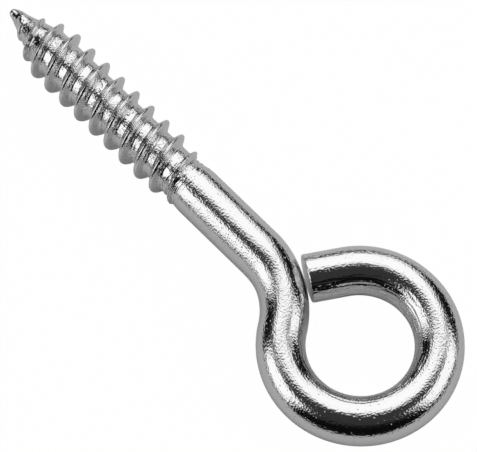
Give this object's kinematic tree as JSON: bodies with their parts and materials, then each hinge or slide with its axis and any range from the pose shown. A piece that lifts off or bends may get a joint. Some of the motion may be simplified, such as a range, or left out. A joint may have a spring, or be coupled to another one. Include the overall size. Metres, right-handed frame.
{
  "type": "screw eye",
  "caption": "Steel wire bent into a closed ring on a straight shank with a coarse right-hand wood-screw thread and a gimlet point.",
  "frame": {"origin": "centre of the ring", "axes": "+Z along the axis of the ring, upwards as the screw eye lies flat; X along the shank, with the point towards -X"},
  "size_m": [0.0694, 0.0234, 0.0074],
  "materials": {
    "zinc_plated_steel": "bright zinc plate over cold-drawn steel wire, with fine drawing marks and small pits"
  },
  "bodies": {
    "root": {"screw_eye": "zinc_plated_steel"}
  },
  "joints": []
}
